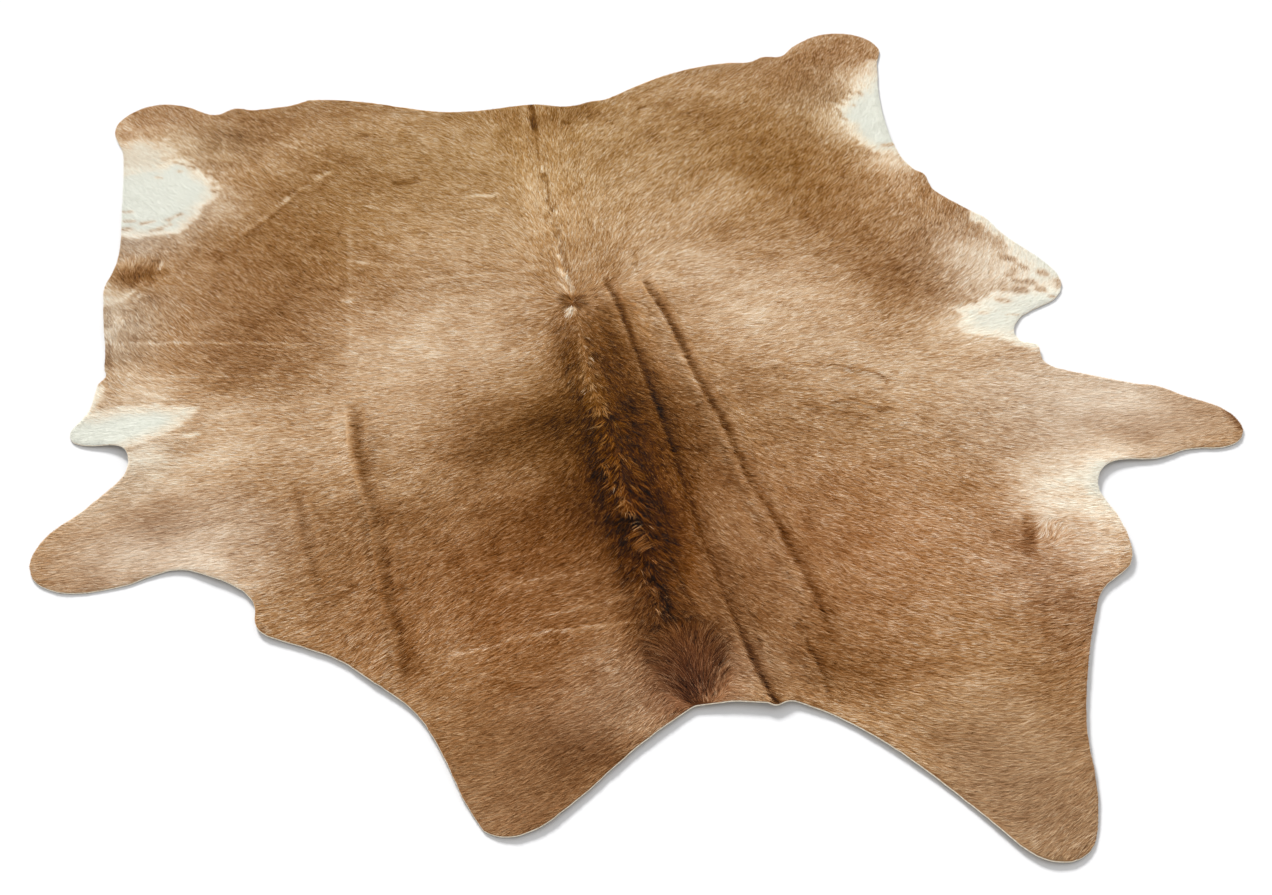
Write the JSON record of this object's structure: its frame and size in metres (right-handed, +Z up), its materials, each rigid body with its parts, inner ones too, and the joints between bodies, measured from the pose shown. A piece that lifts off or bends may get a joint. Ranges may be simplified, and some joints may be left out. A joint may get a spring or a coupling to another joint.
{
  "type": "cowhide rug",
  "caption": "Whole hair-on cowhide lying flat as a floor rug, with shanks, flank flaps and neck lobes, a dark mane along the spine and soft packing folds.",
  "frame": {"origin": "on the floor, under the middle of the hide's bounding box", "axes": "+Y along the spine towards the rump and hind shanks, -Y towards the neck, +X towards the right flank seen from above with the rump at the top, +Z up out of the coat"},
  "size_m": [2.088, 2.3, 0.0173],
  "materials": {
    "coat": "short lying cow hair, caramel brown with cream patches and a dark mane, soft sheen",
    "suede": "matt buffed flesh side and cut edge"
  },
  "bodies": {
    "root": {"hide": "coat"}
  },
  "joints": []
}
